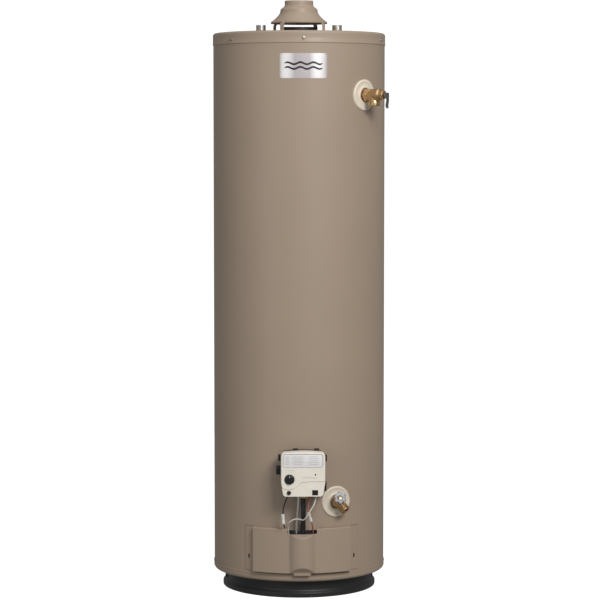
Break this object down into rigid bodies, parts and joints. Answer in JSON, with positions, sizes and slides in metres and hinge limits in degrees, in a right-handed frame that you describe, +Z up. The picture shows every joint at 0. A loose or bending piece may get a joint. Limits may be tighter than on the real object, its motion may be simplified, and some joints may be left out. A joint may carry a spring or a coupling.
{
  "type": "tank water heater",
  "caption": "Tall gas-fired storage water heater: a painted jacket on a round base, with draft hood, gas control, relief valve, drain valve and burner door.",
  "frame": {"origin": "tank axis at floor level, centre of the base ring's foot", "axes": "+Z up along the tank axis, -Y to the front with the gas control, +X to the right seen from the front"},
  "size_m": [0.4606, 0.5519, 1.568],
  "materials": {
    "taupe_paint": "satin",
    "black_paint": "satin",
    "cream_plastic": "satin",
    "black_plastic": "satin",
    "label_film": "satin",
    "foam": "matte",
    "fibreglass": "matte",
    "tank_steel": "satin",
    "steel": "satin",
    "plated_steel": "satin",
    "brass": "satin",
    "aluminium": "satin",
    "white_plastic": "satin",
    "zinc": "satin",
    "rubber": "matte",
    "white_lead": "matte",
    "red_lead": "matte",
    "black_lead": "matte",
    "glass": "gloss",
    "lens": "gloss",
    "gasket": "matte"
  },
  "bodies": {
    "heater": {"base_ring": "black_paint", "bottom_pan": "taupe_paint", "jacket": "taupe_paint", "top_pan": "taupe_paint", "top_pan_screws": "taupe_paint", "foam_insulation": "foam", "chamber_insulation": "fibreglass", "name_plate": "label_film", "tank_shell": "tank_steel", "tank_top_head": "tank_steel", "tank_bottom_head": "tank_steel", "flue_tube": "steel", "flue_baffle": "steel", "combustion_skirt": "tank_steel", "chamber_floor": "steel", "flame_arrestor": "steel", "draft_hood": "taupe_paint", "draft_hood_legs": "taupe_paint", "draft_hood_rivets": "steel", "hot_nipple": "plated_steel", "cold_nipple": "plated_steel", "heat_trap_liners": "white_plastic", "dip_tube": "white_plastic", "anode_rod": "aluminium", "relief_ring": "cream_plastic", "relief_valve_body": "brass", "relief_spring": "steel", "relief_probe": "white_plastic", "drain_ring": "cream_plastic", "drain_valve_body": "brass", "gas_control_body": "black_plastic", "gas_control_cover": "cream_plastic", "control_label": "label_film", "status_light": "lens", "thermopile_plug": "black_plastic", "thermowell": "brass", "manifold_tube": "black_paint", "pilot_tube": "aluminium", "tube_nuts": "brass", "thermopile_lead_white": "white_lead", "thermopile_lead_red": "red_lead", "igniter_lead": "black_lead", "lead_connectors": "white_plastic", "inner_door": "steel", "inner_door_gasket": "gasket", "inner_door_screws": "steel", "sight_glass": "glass", "burner": "steel", "burner_venturi": "steel", "pilot_assembly": "steel"},
    "door": {"access_door": "taupe_paint"},
    "knob_shaft": {"knob_stem": "black_plastic"},
    "knob": {"control_knob": "black_plastic"},
    "igniter": {"igniter_button": "black_plastic"},
    "relief_plunger": {"relief_stem": "brass", "relief_lever_pin": "steel"},
    "relief_handle": {"relief_lever": "zinc"},
    "drain_disc": {"drain_washer": "rubber"},
    "drain_spindle": {"drain_stem": "brass", "drain_handle": "zinc"}
  },
  "joints": [
    {"name": "door_pull", "type": "slide", "parent": "heater", "child": "door", "axis": [0, -1, 0], "range_m": [0, 0.12]},
    {"name": "knob_push", "type": "slide", "parent": "heater", "child": "knob_shaft", "axis": [0, 1, 0], "range_m": [0, 0.004], "stiffness_N_per_m": 1500},
    {"name": "knob_turn", "type": "hinge", "parent": "knob_shaft", "child": "knob", "pos_m": [-0.0354, -0.31, 0.3297], "axis": [0, -1, 0], "range_deg": [-270, 0]},
    {"name": "igniter_press", "type": "slide", "parent": "heater", "child": "igniter", "axis": [0, 1, 0], "range_m": [0, 0.006], "stiffness_N_per_m": 800},
    {"name": "relief_stem_lift", "type": "slide", "parent": "heater", "child": "relief_plunger", "axis": [0.7193, -0.6947, 0], "range_m": [0, 0.0031], "deforming": ["relief_spring"]},
    {"name": "relief_lever_lift", "type": "hinge", "parent": "relief_plunger", "child": "relief_handle", "pos_m": [0.21796, -0.21048, 1.3156], "axis": [-0.6947, -0.7193, 0], "range_deg": [0, 80]},
    {"name": "drain_disc_travel", "type": "slide", "parent": "heater", "child": "drain_disc", "axis": [0.0722, -0.8592, 0.5064], "range_m": [0, 0.0046]},
    {"name": "drain_handle_turn", "type": "hinge", "parent": "drain_disc", "child": "drain_spindle", "pos_m": [0.09761, -0.24786, 0.26967], "axis": [0.0722, -0.8592, 0.5064], "range_deg": [0, 1080]}
  ],
  "couplings": [
    {"joint": "relief_stem_lift", "follows": "relief_lever_lift", "m_per_rad": 0.0021486},
    {"joint": "drain_disc_travel", "follows": "drain_handle_turn", "m_per_rad": 0.00023873}
  ]
}
